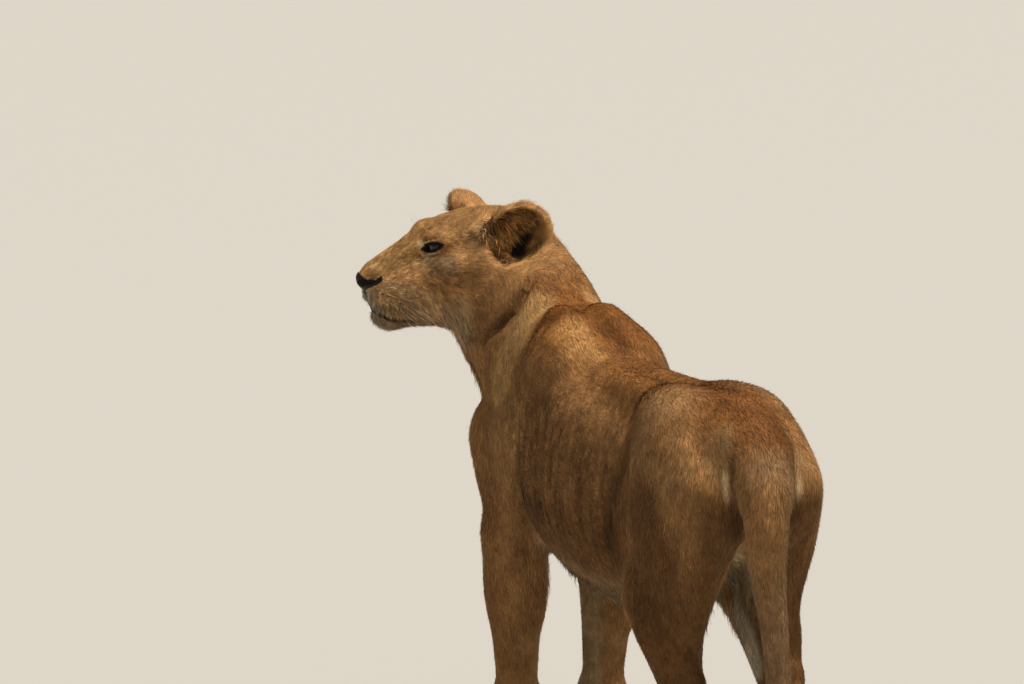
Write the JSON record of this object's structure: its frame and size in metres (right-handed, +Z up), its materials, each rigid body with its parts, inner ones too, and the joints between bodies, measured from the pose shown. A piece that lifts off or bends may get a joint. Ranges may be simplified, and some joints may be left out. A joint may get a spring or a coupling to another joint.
{
  "type": "standing lioness model",
  "caption": "Life-size still model of a standing lioness, looking out over her left shoulder with her tail hanging; it rests on its four flat soles.",
  "frame": {"origin": "middle of the bounding box, at floor level", "axes": "+Z up; +Y towards the tail and -Y the way she stands; +X her left side"},
  "size_m": [0.5244, 1.6158, 1.2055],
  "materials": {
    "coat": "short tawny fur lying flat",
    "pale_coat": "short cream fur of the chin, throat and inner legs",
    "nose_skin": "moist black nose skin",
    "eye": "clear gloss over an amber iris and a round black pupil",
    "tuft": "long dark hair"
  },
  "bodies": {
    "root": {"head": "coat", "lower_jaw": "pale_coat", "nose": "nose_skin", "left_eye": "eye", "right_eye": "eye", "left_ear": "coat", "right_ear": "coat", "neck": "coat", "trunk": "coat", "left_shoulder": "coat", "left_foreleg": "coat", "left_forepaw": "coat", "right_shoulder": "coat", "right_foreleg": "coat", "right_forepaw": "coat", "left_thigh": "coat", "left_hindleg": "coat", "left_hindpaw": "coat", "right_thigh": "coat", "right_hindleg": "coat", "right_hindpaw": "coat", "tail": "coat", "tail_tuft": "tuft"}
  },
  "joints": []
}
